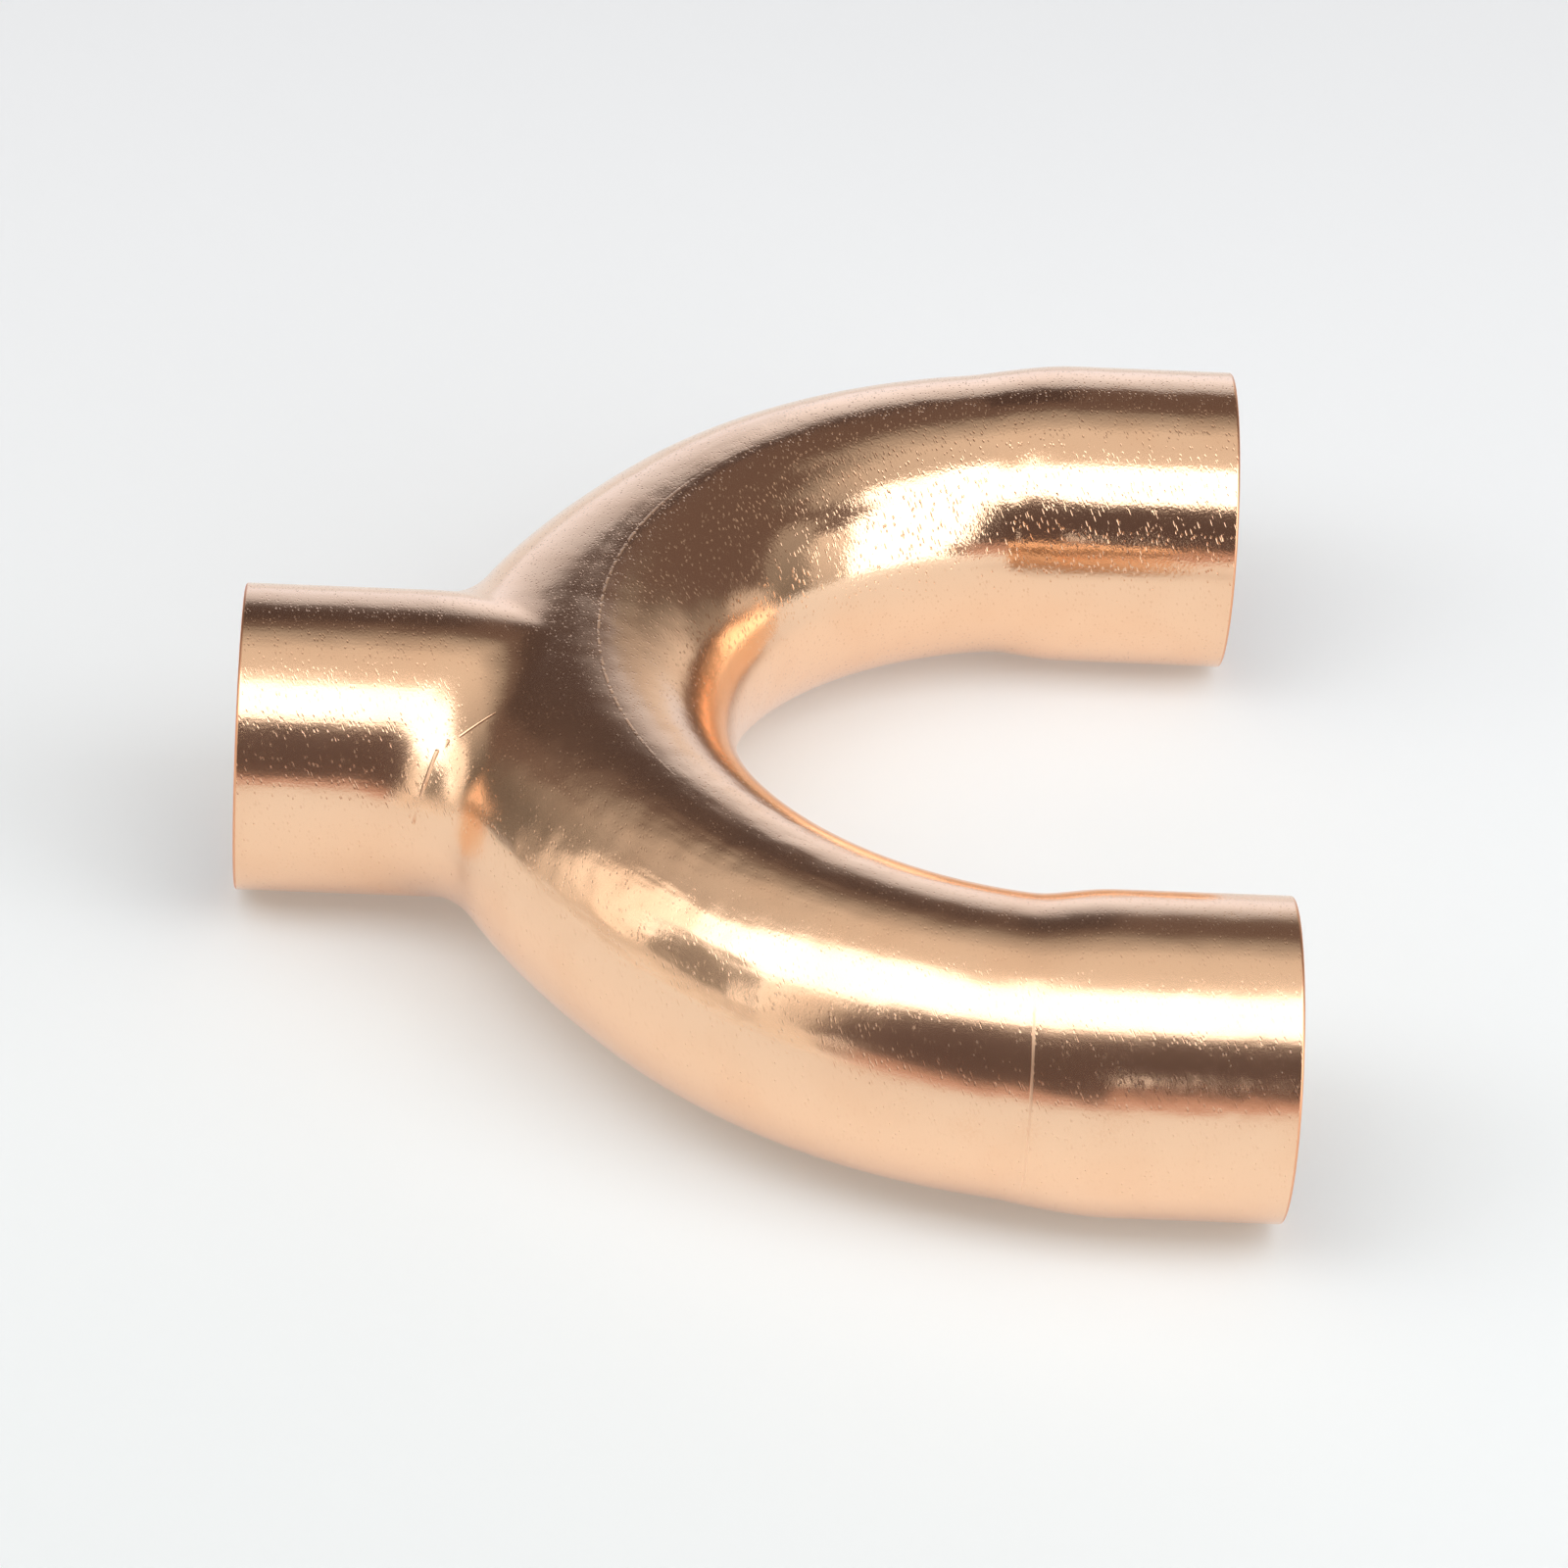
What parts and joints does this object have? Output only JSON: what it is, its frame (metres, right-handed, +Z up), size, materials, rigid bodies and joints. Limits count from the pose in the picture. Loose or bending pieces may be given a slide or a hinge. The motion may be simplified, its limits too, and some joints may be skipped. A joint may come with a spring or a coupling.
{
  "type": "copper wye fitting",
  "caption": "Hollow copper wye: a half-circle return bend with parallel belled outlet sockets and an inlet socket collar drawn out of its back, opposite the outlets.",
  "frame": {"origin": "centre of the bounding box's bottom face, on the surface that the fitting lies on", "axes": "+X from the inlet to the outlets, +Y across the two legs, +Z up, square to the plane of the tube's centre line"},
  "size_m": [0.0794, 0.1006, 0.0243],
  "materials": {
    "copper": null
  },
  "bodies": {
    "root": {"wye_body": "copper"}
  },
  "joints": []
}
